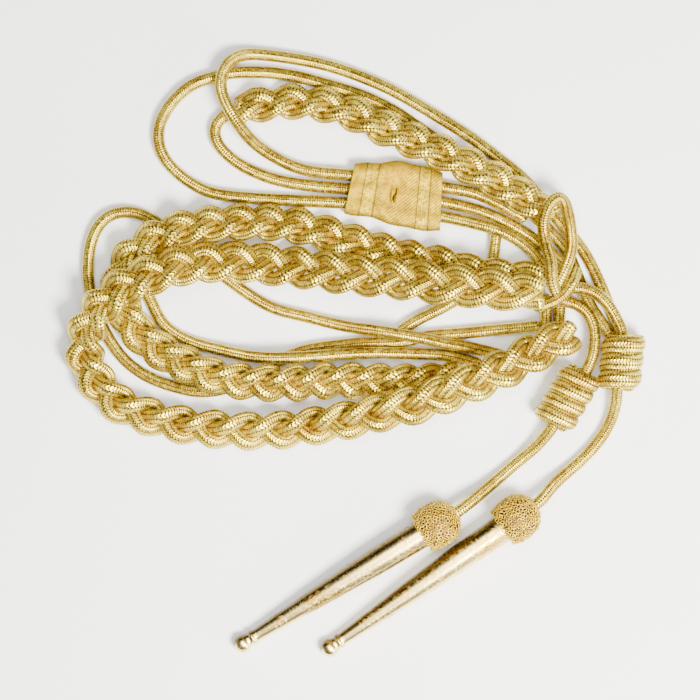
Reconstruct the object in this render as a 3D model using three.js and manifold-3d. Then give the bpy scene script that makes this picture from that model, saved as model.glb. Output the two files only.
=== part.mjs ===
// Aiguillette: gold wire cord worked into three flat plaits, with loops of plain cord, a woven
// tab, two barrel knots, and two pendant cords that end in purl caps and metal tags.
// It lies on a table at z = 0, seen from above with the knots at +X and the tags at -Y.
import * as THREE from 'three';
import { mergeVertices } from 'three/addons/utils/BufferGeometryUtils.js';
import Module from 'manifold-3d';

// Driving sizes in millimetres.
const cordDiameter = 6.2;
const touchGap = 0.3;
const tableGap = 0.15;
const strandWidth = 5.7;
const strandThickness = 4.6;
const strandRise = 1.15;
const frontPlaitReach = 8.6;
const backPlaitReach = 7.4;
const shoulderPlaitReach = 7.0;
const frontPlaitPeriod = 50;
const backPlaitPeriod = 44;
const shoulderPlaitPeriod = 47;
const knotDiameter = 19.4;
const knotGroove = 1.5;
const knotCrown = [0.3, 0.7];
const capDiameter = 22.6;
const capRest = 0.45;
const capLength = 19;
const capWall = 1.6;
const capSeat = 6;
const capCrownWall = 0.5;
const capLip = 1;
const tagLength = 106;
const tagMouthDiameter = 14;
const tagWall = 0.8;
const tagBallDiameter = 9;
const tagCordDepth = 8;
const tagHollowFoot = 0.18;
const tabHeight = 9.2;
const tabWall = 1.1;
const tabEdge = 0.9;
const tabSideWall = 1.5;
const tabOverrun = 5;
const slitLength = 7.2;
const slitWidth = 1.2;

// What follows from them.
const cordRadius = cordDiameter / 2;
const knotRadius = knotDiameter / 2;
const capRadius = capDiameter / 2;
const rimHeight = capRadius - capRest;
const tagMouthRadius = tagMouthDiameter / 2;
const tagBallRadius = tagBallDiameter / 2;
const boreRadius = cordRadius + 1.5 * touchGap;
const layer = cordDiameter + touchGap;
// Crossing strands stand this far above and below a plait's middle.
const plaitDepth = (strandThickness + touchGap) / (2 * Math.sin((2 * Math.PI) / 3)) + strandRise;

const cordSides = 8;
const strandSides = 6;
const turnedSides = 12;
const stepsPerRow = 1;
const stepsPerPeriod = 8;
const paceSteps = 200;

// Finishes, one for each kind of piece.
const goldCord = { color: 0xd8b565, roughness: 0.42, metalness: 0.85 };
const plaitedCord = { color: 0xe0bd6c, roughness: 0.4, metalness: 0.85 };
const boundCord = { color: 0xcfa955, roughness: 0.42, metalness: 0.85 };
const wovenLace = { color: 0xd9b13f, roughness: 0.5, metalness: 0.75 };
const purl = { color: 0xd2a048, roughness: 0.45, metalness: 0.9 };
const polishedMetal = { color: 0xd9cfae, roughness: 0.15, metalness: 1.0 };

// Routes of the plain cords. Columns: x, y and lift, the height of the cord's underside above
// the table counted in cord layers, so that 1 lies over one other cord.
const shoulderOuterRows = [
  [136, 10.4, 0], [131, 18.2, 0], [127.5, 28.2, 0], [120, 44.8, 0], [114.8, 53.2, 0],
  [102, 68.2, 0], [86.5, 86.8, 0], [74.5, 96.6, 0], [61.5, 106.5, 0], [37.5, 121.5, 0],
  [18.5, 132.2, 0], [-9, 142.8, 0], [-27.5, 146.8, 0], [-42.5, 148.8, 0], [-52.5, 149.2, 0.2],
  [-60.2, 145.8, 0.8], [-64.5, 139, 1.05], [-65.2, 131.5, 1.05], [-62.5, 123.8, 1.6],
  [-57.2, 114.5, 1.85], [-48.8, 104.5, 0.8], [-38, 97.2, 0.1], [-24.2, 91.2, 0],
  [-3, 88.7, 0.2], [24, 86.2, 0.2], [46.8, 82.2, 0.2], [62.5, 79.4, 0.1],
  [74, 74, 0.2], [86, 67.4, 0.2],
];
const shoulderMiddleRows = [
  [-61.6, 119.2, 0], [-68, 115, 0], [-68.5, 107.2, 0], [-64.5, 100.8, 0],
  [-57.5, 94.8, 0], [-46.8, 89.2, 0], [-34, 85.2, 0], [-21.2, 83.2, 0], [-10.5, 82.2, 0],
  [2, 81.2, 0.2], [24, 78.8, 0.2], [46.8, 74.8, 0.2], [62.5, 71.2, 0], [76.5, 65.6, 0],
  [92, 56.4, 0], [97.5, 52.4, 0.1], [102.2, 47.4, 0.3], [105.8, 43.4, 0.8],
];
const shoulderInnerRows = [
  [129, 9.8, 0], [125.2, 15.2, 0], [118.5, 25.8, 0], [114.5, 35.8, 0], [111, 44.8, 0],
  [107.5, 52.2, 0], [99, 61, 0], [92.6, 69.2, 0], [74.5, 86.2, 0], [59.5, 96.2, 0],
  [44.5, 105.2, 0], [32, 113.8, 0], [21.5, 120.8, 0], [6.5, 128, 0], [-9, 133, 0],
  [-24.2, 137.2, 0], [-39.5, 139.8, 0], [-60.5, 139.8, 0], [-68.5, 137.8, 0],
  [-77.5, 135.2, 0], [-85, 130.2, 0], [-92, 122.2, 0], [-96, 114.8, 0], [-97, 108.2, 0],
  [-96, 101.8, 0], [-91.5, 93.8, 0], [-83, 86.2, 0], [-72.2, 80.2, 0], [-59.5, 77.8, 0],
  [-34, 76, 0], [-3, 74.4, 0.2], [24, 71.6, 0.2], [46.8, 67.4, 0.2],
  [62.5, 63.8, 0.8], [74, 60.4, 1.1], [82, 56.6, 0.8], [92, 49.2, 0.2], [95.4, 44.4, 0],
];
const armLongRows = [
  [92.4, 12.6, 0], [74.5, 11, 0], [56, 9.2, 0], [40, 8, 0], [24.5, 4.8, 0], [10, 4.6, 0],
  [-6, 3.1, 0], [-26, 0, 0], [-38, -6.2, 0], [-50.5, -13.2, 0], [-64, -19, 0],
  [-76.8, -20.2, 0], [-89, -17.6, 0], [-102.5, -12.6, 0], [-114, -4, 0], [-120.5, 4.8, 0],
  [-127.5, 18.2, 0], [-131.4, 31.8, 0], [-132, 44.2, 0], [-130, 56.8, 0], [-124, 66.8, 0],
  [-115, 70.2, 0], [-105.8, 69.2, 0], [-97.5, 65, 0], [-85.5, 55.8, 0], [-70.5, 43.2, 0],
  [-56, 31.8, 0], [-39.5, 21.8, 0], [-23, 17.6, 0], [-3.5, 12.8, 0.2], [14, 10.2, 1],
  [26, 8.2, 1.1], [36, 6.6, 1.1], [47.5, 4, 0.6], [60.4, 1.8, 0.1], [68.5, 0, 0], [74.5, -1.6, 0],
];
const armShortRows = [
  [-102.6, 30.5, 0], [-100, 25, 0], [-95.5, 15.3, 0], [-90.5, 10.3, 0], [-79.8, 4.7, 0], [-64.2, 0.6, 0.2],
  [-49, -2.6, 0.8], [-33.6, -3.2, 1.1], [-18.5, -2.4, 1.05], [-5.5, -1.4, 0.95],
  [9, -0.6, 0.7], [28, -1, 0.4], [47.5, -1.9, 0], [58, -4.2, 0], [63.2, -6, 0],
];
const armCrossRows = [
  [72.8, 59.2, 0], [72, 52, 0], [70, 42, 0], [60, 31, 0], [44.2, 21, 0], [32.6, 15.6, 0],
  [26.4, 11.6, 0],
];
const pendantFirstRows = [
  [106, 25.4, 1], [112.5, 24, 1], [117.8, 20.2, 1], [121, 14.2, 1], [121.8, 7.2, 1],
  [120.9, -1.8, 1],
];
const pendantFirstTailRows = [
  [92.5, -47.8, 0.3], [83.5, -55.4, 0], [69.5, -67.4, 0.3],
];
const pendantSecondRows = [
  [109.5, 32, 1], [118, 31.4, 1], [125, 27.2, 1.05], [130.4, 20.8, 1.05], [133.2, 14.2, 1],
];
const pendantSecondTailRows = [
  [132.8, -25, 0.6], [129.6, -36.4, 0], [122.4, -47.4, 0], [113.6, -56.2, 0], [102, -66.2, 0.3],
];
const junctionLoopRows = [
  [99.6, 33.4, 2.9], [98.8, 44.6, 2.75], [96.2, 55.6, 2.3], [95, 63.6, 2.8], [97.2, 71.2, 3],
  [101.4, 76.2, 2.75], [105.8, 74.8, 1.9], [108.4, 68.4, 1.2], [109.8, 60.4, 1.1],
  [109.8, 51.6, 1.5], [107, 42.6, 2.1], [104.6, 37.4, 2.2],
];
const firstLinkRows = [[98.2, 26, 0], [98, 20, 0], [97.6, 14, 0]];
const secondLinkRows = [[104.8, 24.6, 0], [104.6, 19, 0], [104.2, 13, 0]];
const junctionTailRows = [
  [92.4, 22.4, 2.6], [99, 24.2, 2.3], [105.5, 28.2, 2.15], [109.6, 34, 2.05], [112.2, 40, 1.2],
];

// Routes of the plaits, each from its lower right end round to its upper right end, or from
// left to right. Columns: x, y, lift in cord layers under the plait, roll in degrees (the right
// edge raised, looking along the route) and spread, a share of the plait's reach.
const frontPlaitRows = [
  [110, 9.2, 1.1, 5, 0.8], [97, 2.8, 1.2, 10, 0.95], [83, -4.8, 1.4, 12, 0.95],
  [68.5, -12.2, 1.9, 14, 0.95], [52.5, -18.2, 2, 16, 0.95], [36.5, -25.2, 1.9, 20, 0.92],
  [19.5, -29, 1.6, 24, 0.92], [2, -33.4, 1, 28, 0.9], [-13, -36.4, 0.1, 30, 0.9],
  [-45, -39.8, 0, 30, 0.9], [-82, -37.2, 0, 30, 0.9], [-98.5, -33.2, 0, 30, 0.9],
  [-115.5, -27.2, 0, 28, 0.9], [-126, -17, 0, 24, 0.92], [-132, -6.2, 0.1, 20, 0.95],
  [-133.6, 3.8, 0.6, 16, 0.95], [-130.5, 13.2, 1.3, 14, 0.95], [-121.5, 24.8, 2.1, 14, 0.95],
  [-110, 33.2, 2.3, 14, 0.95], [-98.5, 38.2, 2.4, 16, 0.95], [-84, 42.6, 2.1, 18, 0.95],
  [-68, 44.6, 1.3, 16, 0.95], [-54, 44.6, 1.05, 14, 1], [-40, 43.2, 0.6, 12, 1],
  [-22, 41.4, 0.85, 10, 1], [-7, 39.1, 1.4, 8, 1], [8, 37.6, 1.75, 6, 1], [24, 36, 2.1, 6, 1],
  [41, 33.8, 2.8, 6, 1], [57, 32.2, 3, 6, 1], [71, 30.8, 3, 6, 1], [86, 29.4, 3, 4, 0.9],
  [93, 29.6, 3, 0, 0.75],
];
const backPlaitRows = [
  [52, -12.2, 0, 0, 0.7], [37, -14.8, 0, 6, 0.85], [20, -15.2, 0, 20, 0.95],
  [5, -14.8, 0.1, 26, 0.95], [-10, -14.4, 0.3, 26, 0.95], [-24.5, -15.5, 0.8, 26, 0.95],
  [-38, -15.8, 1.05, 26, 0.95], [-53, -15, 1.05, 26, 0.95], [-68, -12.5, 1.05, 26, 0.95],
  [-78.5, -8.2, 0.9, 26, 0.95], [-92.5, -1.6, 0.4, 22, 0.95], [-105.5, 8.4, 0.1, 16, 0.95],
  [-113.5, 19.8, 0, 8, 0.95], [-116.6, 30.8, 0, 4, 0.95], [-113, 43.8, 0.3, 10, 0.95],
  [-101.5, 54.2, 0.9, 16, 0.95], [-88.5, 60.2, 1.05, 22, 0.95], [-72, 63.2, 0.7, 26, 0.95],
  [-56, 64.6, 0.2, 26, 0.95], [-42, 64.6, 0, 26, 0.95], [-25.5, 62.8, 0, 24, 0.95],
  [-10.5, 58.2, 0, 20, 0.95], [3, 53.8, 0, 14, 0.95], [16.5, 49.8, 0.1, 8, 0.95],
  [32.5, 45.8, 0.5, 4, 0.95], [48, 42.8, 1.05, 2, 0.95], [60.5, 38.8, 1.05, 2, 0.95],
  [74, 37, 1.05, 2, 0.95], [94, 36, 0.95, 2, 0.85],
];
const shoulderPlaitRows = [
  [-55.4, 121.6, 0, 8, 0.85], [-44.5, 123.6, 0, 18, 0.9], [-30.5, 125, 0, 22, 0.95],
  [-15.5, 123.8, 0.1, 22, 0.95], [-0.5, 119.6, 0.3, 22, 0.95], [14.5, 112.2, 0.5, 22, 0.95],
  [28.5, 106, 0.8, 22, 0.95], [44.5, 99.2, 1.05, 22, 0.95], [59.5, 92, 1.05, 22, 0.95],
  [74.5, 83.6, 1.1, 18, 0.95], [89.5, 74, 1.1, 12, 0.9], [98.6, 68, 1.1, 6, 0.7],
];

// How a plait's period changes on its way. Columns: share of its length, share of its period.
const frontPlaitPace = [[0, 0.98], [0.42, 1.02], [0.5, 0.87], [0.6, 0.87], [1, 1.06]];
const backPlaitPace = [[0, 0.95], [1, 1.04]];
const shoulderPlaitPace = [[0, 1.07], [1, 0.93]];
// Where in its turn each plait's first strand starts, in degrees.
const frontPlaitStart = 104;
const backPlaitStart = 70;
const shoulderPlaitStart = 80;

// The knots' axes, from the end where the pendant cord goes in to the end where it comes out.
const knots = [
  { name: 'knot_1', top: [116.8, -10.8], bottom: [101.4, -36.6], turns: 4 },
  { name: 'knot_2', top: [135.6, 8.2], bottom: [132.8, -18.2], turns: 3 },
];
// Each pendant's tag, by the middle of its ball and of its cap's rim.
const pendants = [
  { ball: [-54, -146.2], rim: [35.8, -90.6] },
  { ball: [-10.8, -148.6], rim: [76, -87.8] },
];
// Stations across the woven tab, from its left mouth to its right one.
const tabStations = [
  { top: [2, 94.2], bottom: [-3.5, 69.2] },
  { top: [14, 94.8], bottom: [10.5, 66.8] },
  { top: [26, 95.2], bottom: [25, 62.4] },
  { top: [36, 92.8], bottom: [36.5, 60.8] },
  { top: [46, 89.8], bottom: [44.5, 60.2] },
];
const slitMiddle = [21.8, 78.4];

const wasm = await Module();
wasm.setup();
const assembly = new THREE.Group();
const plainCords = new Set();

function addPiece(name, geometry, finish) {
  const mesh = new THREE.Mesh(geometry, new THREE.MeshStandardMaterial(finish));
  mesh.name = name;
  assembly.add(mesh);
  return mesh;
}

// A closed mesh as a solid for cutting, and back again.
function toSolid(geometry) {
  const bare = geometry.clone();
  bare.deleteAttribute('normal');
  bare.deleteAttribute('uv');
  const merged = mergeVertices(bare, 1e-3);
  const mesh = new wasm.Mesh({
    numProp: 3,
    vertProperties: new Float32Array(merged.attributes.position.array),
    triVerts: new Uint32Array(merged.index.array),
  });
  return new wasm.Manifold(mesh);
}

function toGeometry(solid) {
  const mesh = solid.getMesh();
  const geometry = new THREE.BufferGeometry();
  geometry.setAttribute('position', new THREE.BufferAttribute(mesh.vertProperties, 3));
  geometry.setIndex(new THREE.BufferAttribute(mesh.triVerts, 1));
  geometry.computeVertexNormals();
  return geometry;
}

// A cord's section, or a strand's, pressed a little flat.
function ovalSection(thickness, width, sides) {
  const points = [];
  for (let side = 0; side < sides; side += 1) {
    const angle = (2 * Math.PI * side) / sides;
    points.push(new THREE.Vector2(
      (thickness / 2) * Math.sin(angle),
      (width / 2) * Math.cos(angle),
    ));
  }
  return new THREE.Shape(points.reverse());
}

// A curve whose steps follow its rows, so that a tight bend with close rows is stepped finely.
class RouteCurve extends THREE.CatmullRomCurve3 {
  getUtoTmapping(share) {
    return share;
  }
}

function routePoint([x, y, lift]) {
  return new THREE.Vector3(x, y, lift * layer + cordRadius + tableGap);
}

function cordTube(points) {
  const curve = new RouteCurve(points, false, 'centripetal');
  const section = ovalSection(cordDiameter, cordDiameter, cordSides);
  const steps = (points.length - 1) * stepsPerRow;
  return new THREE.ExtrudeGeometry(section, { extrudePath: curve, steps, bevelEnabled: false });
}

function addCord(name, points, finish) {
  plainCords.add(addPiece(name, cordTube(points), finish));
}

function addRoute(name, rows, finish) {
  addCord(name, rows.map(routePoint), finish);
}

// A short piece of cord that is sewn down at the junction, and so isn't free.
function addBoundRoute(name, rows) {
  addPiece(name, cordTube(rows.map(routePoint)), boundCord);
}

// A plait's pace between the rows of its table.
function paceAt(pace, share) {
  const next = Math.max(1, pace.findIndex(([place]) => place >= share));
  const [fromPlace, fromPace] = pace[next - 1];
  const [toPlace, toPace] = pace[next];
  return fromPace + ((toPace - fromPace) * (share - fromPlace)) / (toPlace - fromPlace);
}

// How far a plait reaches below its middle when it is rolled.
function plaitDrop(reach, roll) {
  let drop = 0;
  for (let turn = 0; turn < 36; turn += 1) {
    const angle = (2 * Math.PI * turn) / 36;
    const across = reach * Math.cos(angle) * Math.sin(roll);
    const above = plaitDepth * Math.sin(2 * angle) * Math.cos(roll);
    drop = Math.max(drop, -across - above);
  }
  const half = Math.hypot(
    (strandThickness / 2) * Math.cos(roll),
    (strandWidth / 2) * Math.sin(roll),
  );
  return drop + half;
}

// A plait's middle line with its frame, and how many turns it has made, at any share of its
// length.
class PlaitSpine {
  constructor(rows, reach, period, pace) {
    this.rows = rows;
    this.reach = reach;
    const points = rows.map(([x, y, lift, roll, spread]) => {
      const drop = plaitDrop(reach * spread, THREE.MathUtils.degToRad(roll));
      return new THREE.Vector3(x, y, lift * layer + drop);
    });
    this.curve = new THREE.CatmullRomCurve3(points, false, 'centripetal');
    this.curve.arcLengthDivisions = 800;
    this.turnsAtStep = [0];
    const stepLength = this.curve.getLength() / paceSteps;
    for (let step = 0; step < paceSteps; step += 1) {
      const stepPeriod = period * paceAt(pace, (step + 0.5) / paceSteps);
      this.turnsAtStep.push(this.turnsAtStep[step] + stepLength / stepPeriod);
    }
    this.turns = this.turnsAtStep[paceSteps];
  }

  // The share of the length at which a share of the turns is made.
  shareAt(turned) {
    const target = THREE.MathUtils.clamp(turned, 0, 1) * this.turns;
    const next = Math.max(1, this.turnsAtStep.findIndex((turns) => turns >= target - 1e-9));
    const before = this.turnsAtStep[next - 1];
    const part = (target - before) / (this.turnsAtStep[next] - before);
    return THREE.MathUtils.clamp((next - 1 + part) / paceSteps, 0, 1);
  }

  column(index, t) {
    const place = Math.min(t * (this.rows.length - 1), this.rows.length - 1.0001);
    const row = Math.floor(place);
    const part = place - row;
    return this.rows[row][index] * (1 - part) + this.rows[row + 1][index] * part;
  }

  frameAt(share) {
    const t = this.curve.getUtoTmapping(share);
    const along = this.curve.getTangent(t);
    const roll = -THREE.MathUtils.degToRad(this.column(3, t));
    const left = new THREE.Vector3(-along.y, along.x, 0).normalize();
    const up = new THREE.Vector3().crossVectors(along, left).normalize();
    const across = left.clone().multiplyScalar(Math.cos(roll));
    across.addScaledVector(up, Math.sin(roll));
    const above = up.clone().multiplyScalar(Math.cos(roll));
    above.addScaledVector(left, -Math.sin(roll));
    const reach = this.reach * this.column(4, t);
    return { middle: this.curve.getPoint(t), across, above, reach };
  }
}

// One of a plait's three strands: it swings from edge to edge, over the second strand on its
// way in and under the third on its way out.
class StrandCurve extends THREE.Curve {
  constructor(spine, phase) {
    super();
    this.spine = spine;
    this.phase = phase;
  }

  getUtoTmapping(share) {
    return share;
  }

  getPoint(share) {
    const { middle, across, above, reach } = this.spine.frameAt(this.spine.shareAt(share));
    const angle = 2 * Math.PI * this.spine.turns * THREE.MathUtils.clamp(share, 0, 1) + this.phase;
    middle.addScaledVector(across, reach * Math.cos(angle));
    return middle.addScaledVector(above, plaitDepth * Math.sin(2 * angle));
  }

  // The strand keeps its flat side in the plait's plane.
  computeFrenetFrames(segments) {
    const tangents = [];
    const normals = [];
    const binormals = [];
    for (let step = 0; step <= segments; step += 1) {
      const share = step / segments;
      const tangent = this.getTangent(share);
      const { above } = this.spine.frameAt(this.spine.shareAt(share));
      const normal = above.clone().addScaledVector(tangent, -above.dot(tangent)).normalize();
      tangents.push(tangent);
      normals.push(normal);
      binormals.push(new THREE.Vector3().crossVectors(tangent, normal));
    }
    return { tangents, normals, binormals };
  }
}

function addPlait(name, spine, startAngle) {
  const steps = Math.round(spine.turns * stepsPerPeriod);
  const section = ovalSection(strandThickness, strandWidth, strandSides);
  for (let strand = 0; strand < 3; strand += 1) {
    const phase = THREE.MathUtils.degToRad(startAngle) + (2 * Math.PI * strand) / 3;
    const extrudePath = new StrandCurve(spine, phase);
    const geometry = new THREE.ExtrudeGeometry(section, { extrudePath, steps, bevelEnabled: false });
    addPiece(`${name}_strand_${strand + 1}`, geometry, plaitedCord);
  }
}

// Places a turned piece with its foot at one point and its axis towards another.
function aim(mesh, foot, head) {
  const axis = head.clone().sub(foot).normalize();
  mesh.position.copy(foot);
  mesh.quaternion.setFromUnitVectors(new THREE.Vector3(0, 1, 0), axis);
}

function turned(pairs) {
  const profile = pairs.map(([radius, height]) => new THREE.Vector2(radius, height));
  return new THREE.LatheGeometry(profile, turnedSides);
}

// A barrel of wound turns round a bore for the pendant cord. Each turn's crown is flat between two shares of its pitch.
function knotGeometry(length, turns) {
  const pitch = length / turns;
  const low = knotRadius - knotGroove;
  const pairs = [[boreRadius, 0], [low - knotGroove / 2, 0]];
  for (let turn = 0; turn < turns; turn += 1) {
    for (const share of knotCrown) {
      pairs.push([knotRadius, (turn + share) * pitch]);
    }
    if (turn < turns - 1) {
      pairs.push([low, (turn + 1) * pitch]);
    }
  }
  pairs.push([low - knotGroove / 2, length], [boreRadius, length], [boreRadius, 0]);
  return turned(pairs);
}

// A hollow acorn cap: its mouth seats on the tag and the cord comes out of its crown.
// Columns: height as a share of the cap's length, outside radius as a share of the cap's.
const capDome = [[0, 0.88], [0.15, 0.965], [0.4, 1], [0.66, 0.955], [0.8, 0.83], [0.91, 0.62]];
const capLipHeight = 0.08;
const capShoulder = { height: 0.5, radius: 0.84 };
const capThroat = 0.84;

function capGeometry() {
  const outside = capDome.map(([height, radius]) => [radius * capRadius, height * capLength]);
  const crown = boreRadius + capCrownWall;
  const seat = tagMouthRadius + touchGap;
  const inside = [
    [boreRadius, capLength],
    [boreRadius, capThroat * capLength],
    [capShoulder.radius * capRadius - capWall, capShoulder.height * capLength],
    [seat, capSeat + touchGap],
    [seat, capLipHeight * capLength],
    [seat + capLip, 0],
  ];
  return turned([...outside, [crown, capLength], ...inside, outside[0]]);
}

// A hollow tapered tag with a ball, a neck and a collar at its foot.
// Columns: height as a share of the tag's length, radius as a share of its mouth's.
const tagNeck = [[0.042, 0.43], [0.056, 0.56], [0.072, 0.46]];
const tagTaper = [[0.25, 0.61], [0.5, 0.82], [0.75, 0.965], [1, 1]];
const tagBallDegrees = [-45, 0, 40];

function tagGeometry() {
  const ball = tagBallDegrees.map((degrees) => {
    const angle = THREE.MathUtils.degToRad(degrees);
    return [tagBallRadius * Math.cos(angle), tagBallRadius * Math.sin(angle)];
  });
  const outside = [...tagNeck, ...tagTaper].map(([height, radius]) => (
    [radius * tagMouthRadius, height * tagLength]
  ));
  const inside = tagTaper.toReversed().map(([height, radius]) => (
    [radius * tagMouthRadius - tagWall, height * tagLength]
  ));
  const mouth = tagLength + capSeat;
  inside[0][1] = mouth;
  return turned([
    [0, -tagBallRadius], ...ball, ...outside, [tagMouthRadius, mouth], ...inside,
    [0, tagHollowFoot * tagLength],
  ]);
}

// The plan of the tab between its two long sides, moved in by a wall and out past its mouths.
function tabPlan(inset, overrun) {
  const tops = [];
  const bottoms = [];
  tabStations.forEach(({ top, bottom }, index) => {
    const upper = new THREE.Vector2(...top);
    const lower = new THREE.Vector2(...bottom);
    const inward = lower.clone().sub(upper).normalize();
    upper.addScaledVector(inward, inset);
    lower.addScaledVector(inward, -inset);
    if (index === 0) {
      upper.x -= overrun;
      lower.x -= overrun;
    }
    if (index === tabStations.length - 1) {
      upper.x += overrun;
      lower.x += overrun;
    }
    tops.push(upper);
    bottoms.unshift(lower);
  });
  return new THREE.Shape([...bottoms, ...tops]);
}

// A flat sleeve of woven lace round three cords, with a buttonhole slit in its upper wall.
function tabGeometry() {
  const outer = new THREE.ExtrudeGeometry(tabPlan(0, 0), {
    depth: tabHeight - 2 * tabEdge,
    bevelEnabled: true,
    bevelSegments: 1,
    bevelSize: tabEdge,
    bevelOffset: -tabEdge,
    bevelThickness: tabEdge,
  });
  outer.translate(0, 0, tabEdge);
  const hollow = new THREE.ExtrudeGeometry(tabPlan(tabSideWall, tabOverrun), {
    depth: tabHeight - 2 * tabWall,
    bevelEnabled: false,
  });
  hollow.translate(0, 0, tabWall);
  const slit = new THREE.BoxGeometry(slitWidth, slitLength, tabHeight);
  slit.translate(slitMiddle[0], slitMiddle[1], tabHeight);
  return toGeometry(toSolid(outer).subtract(toSolid(hollow)).subtract(toSolid(slit)));
}

function addPendant(number, knot, pendant, headRows, tailRows) {
  const ball = new THREE.Vector3(...pendant.ball, tagBallRadius);
  const rim = new THREE.Vector3(...pendant.rim, rimHeight);
  const axis = rim.clone().sub(ball).normalize();
  const foot = rim.clone().addScaledVector(axis, -tagLength);

  const tag = addPiece(`tag_${number}`, tagGeometry(), polishedMetal);
  aim(tag, foot, rim);
  const cap = addPiece(`cap_${number}`, capGeometry(), purl);
  aim(cap, rim, rim.clone().add(axis));

  const top = new THREE.Vector3(...knot.top, knotRadius);
  const bottom = new THREE.Vector3(...knot.bottom, knotRadius);
  const barrel = addPiece(knot.name, knotGeometry(top.distanceTo(bottom), knot.turns), boundCord);
  aim(barrel, top, bottom);

  const down = bottom.clone().sub(top).normalize();
  const points = [
    ...headRows.map(routePoint),
    top.clone().addScaledVector(down, -cordRadius),
    top.clone().addScaledVector(down, cordRadius),
    bottom.clone().addScaledVector(down, -cordRadius),
    bottom.clone().addScaledVector(down, cordRadius / 2),
    ...tailRows.map(routePoint),
    rim.clone().addScaledVector(axis, capLength + cordRadius),
    rim.clone().addScaledVector(axis, capLength - cordRadius),
    rim.clone().addScaledVector(axis, capSeat - tagCordDepth),
  ];
  addCord(`pendant_cord_${number}`, points, goldCord);
}

addPendant(1, knots[0], pendants[0], pendantFirstRows, pendantFirstTailRows);
addPendant(2, knots[1], pendants[1], pendantSecondRows, pendantSecondTailRows);

addRoute('shoulder_cord_outer', shoulderOuterRows, goldCord);
addRoute('shoulder_cord_middle', shoulderMiddleRows, goldCord);
addRoute('shoulder_cord_inner', shoulderInnerRows, goldCord);
addRoute('arm_cord_long', armLongRows, goldCord);
addRoute('arm_cord_short', armShortRows, goldCord);
addRoute('arm_cord_cross', armCrossRows, goldCord);
addBoundRoute('junction_loop', junctionLoopRows);
addBoundRoute('junction_tail', junctionTailRows);
addBoundRoute('junction_link_1', firstLinkRows);
addBoundRoute('junction_link_2', secondLinkRows);
addPiece('woven_tab', tabGeometry(), wovenLace);

const frontSpine = new PlaitSpine(
  frontPlaitRows, frontPlaitReach, frontPlaitPeriod, frontPlaitPace,
);
const backSpine = new PlaitSpine(backPlaitRows, backPlaitReach, backPlaitPeriod, backPlaitPace);
const shoulderSpine = new PlaitSpine(
  shoulderPlaitRows, shoulderPlaitReach, shoulderPlaitPeriod, shoulderPlaitPace,
);
addPlait('front_plait', frontSpine, frontPlaitStart);
addPlait('back_plait', backSpine, backPlaitStart);
addPlait('shoulder_plait', shoulderSpine, shoulderPlaitStart);

// The origin is the middle of the box of everything but the plain cords, at the table.
function seatOnOrigin() {
  assembly.updateMatrixWorld(true);
  const box = new THREE.Box3();
  for (const piece of assembly.children) {
    if (!plainCords.has(piece)) {
      box.expandByObject(piece, true);
    }
  }
  const middle = box.getCenter(new THREE.Vector3());
  assembly.position.set(-middle.x, -middle.y, -box.min.z);
}

seatOnOrigin();

export default assembly;
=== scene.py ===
import math

import bpy
import numpy as np
from mathutils import Matrix, Vector


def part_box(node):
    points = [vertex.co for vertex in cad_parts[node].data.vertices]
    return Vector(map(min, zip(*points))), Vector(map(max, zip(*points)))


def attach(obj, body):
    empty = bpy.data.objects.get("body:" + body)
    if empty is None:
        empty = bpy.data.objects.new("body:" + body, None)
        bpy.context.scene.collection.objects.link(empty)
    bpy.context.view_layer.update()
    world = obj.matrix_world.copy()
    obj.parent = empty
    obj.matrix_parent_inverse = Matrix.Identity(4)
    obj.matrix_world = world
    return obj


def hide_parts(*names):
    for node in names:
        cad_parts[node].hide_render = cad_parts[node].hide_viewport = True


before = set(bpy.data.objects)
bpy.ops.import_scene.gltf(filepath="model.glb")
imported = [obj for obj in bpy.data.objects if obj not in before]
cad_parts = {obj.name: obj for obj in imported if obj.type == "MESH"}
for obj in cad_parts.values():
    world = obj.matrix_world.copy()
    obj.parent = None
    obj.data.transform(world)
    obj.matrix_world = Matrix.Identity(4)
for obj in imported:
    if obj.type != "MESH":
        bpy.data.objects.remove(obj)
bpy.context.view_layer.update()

# Aiguillette of gold wire cord, lying on a pale table. The routes are in millimetres on the
# table, as the part's are, and come out in metres in the part's frame.
mm = 0.001
knotOneMiddle = np.array([109.1, -23.7]) * mm
knotLow, knotHigh = (np.array(corner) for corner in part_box("knot_1"))
tableShift = np.append((knotLow + knotHigh)[:2] / 2 - knotOneMiddle, 0.0)

cordLook = {
    "diameter": 6.2 * mm,
    "layer": 6.5 * mm,  # one cord lying over another
    "tableGap": 0.15 * mm,
    "step": 0.6 * mm,
    "sides": 32,
    "columns": 16,  # columns of picks round the braid
    "pick": 1.2 * mm,
    "relief": 0.22 * mm,
    "tip": 0.42,  # how far a rounded tip stands out, as a share of the cord
    "smooth": 4.0 * mm,
}


# Routes

def catmullRom(points, perSpan):  # centripetal, through every point
    points = np.asarray(points, float)
    before = 2 * points[0] - points[1]
    after = 2 * points[-1] - points[-2]
    ring = np.vstack([before, points, after])
    places = []
    for span in range(len(points) - 1):
        p0, p1, p2, p3 = ring[span:span + 4]
        pairs = ((p0, p1), (p1, p2), (p2, p3))
        d0, d1, d2 = (max(np.linalg.norm(b - a), 1e-9) ** 0.5 for a, b in pairs)
        t1 = ((p1 - p0) / d0 - (p2 - p0) / (d0 + d1) + (p2 - p1) / d1) * d1
        t2 = ((p2 - p1) / d1 - (p3 - p1) / (d1 + d2) + (p3 - p2) / d2) * d1
        t = np.linspace(0, 1, perSpan, endpoint=False)[:, None]
        c2 = -3 * p1 + 3 * p2 - 2 * t1 - t2
        c3 = 2 * p1 - 2 * p2 + t1 + t2
        places.append(p1 + t1 * t + c2 * t ** 2 + c3 * t ** 3)
    return np.vstack(places + [points[-1:]])


def lengthsAlong(path):
    return np.append(0, np.cumsum(np.linalg.norm(np.diff(path, axis=0), axis=1)))


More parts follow.
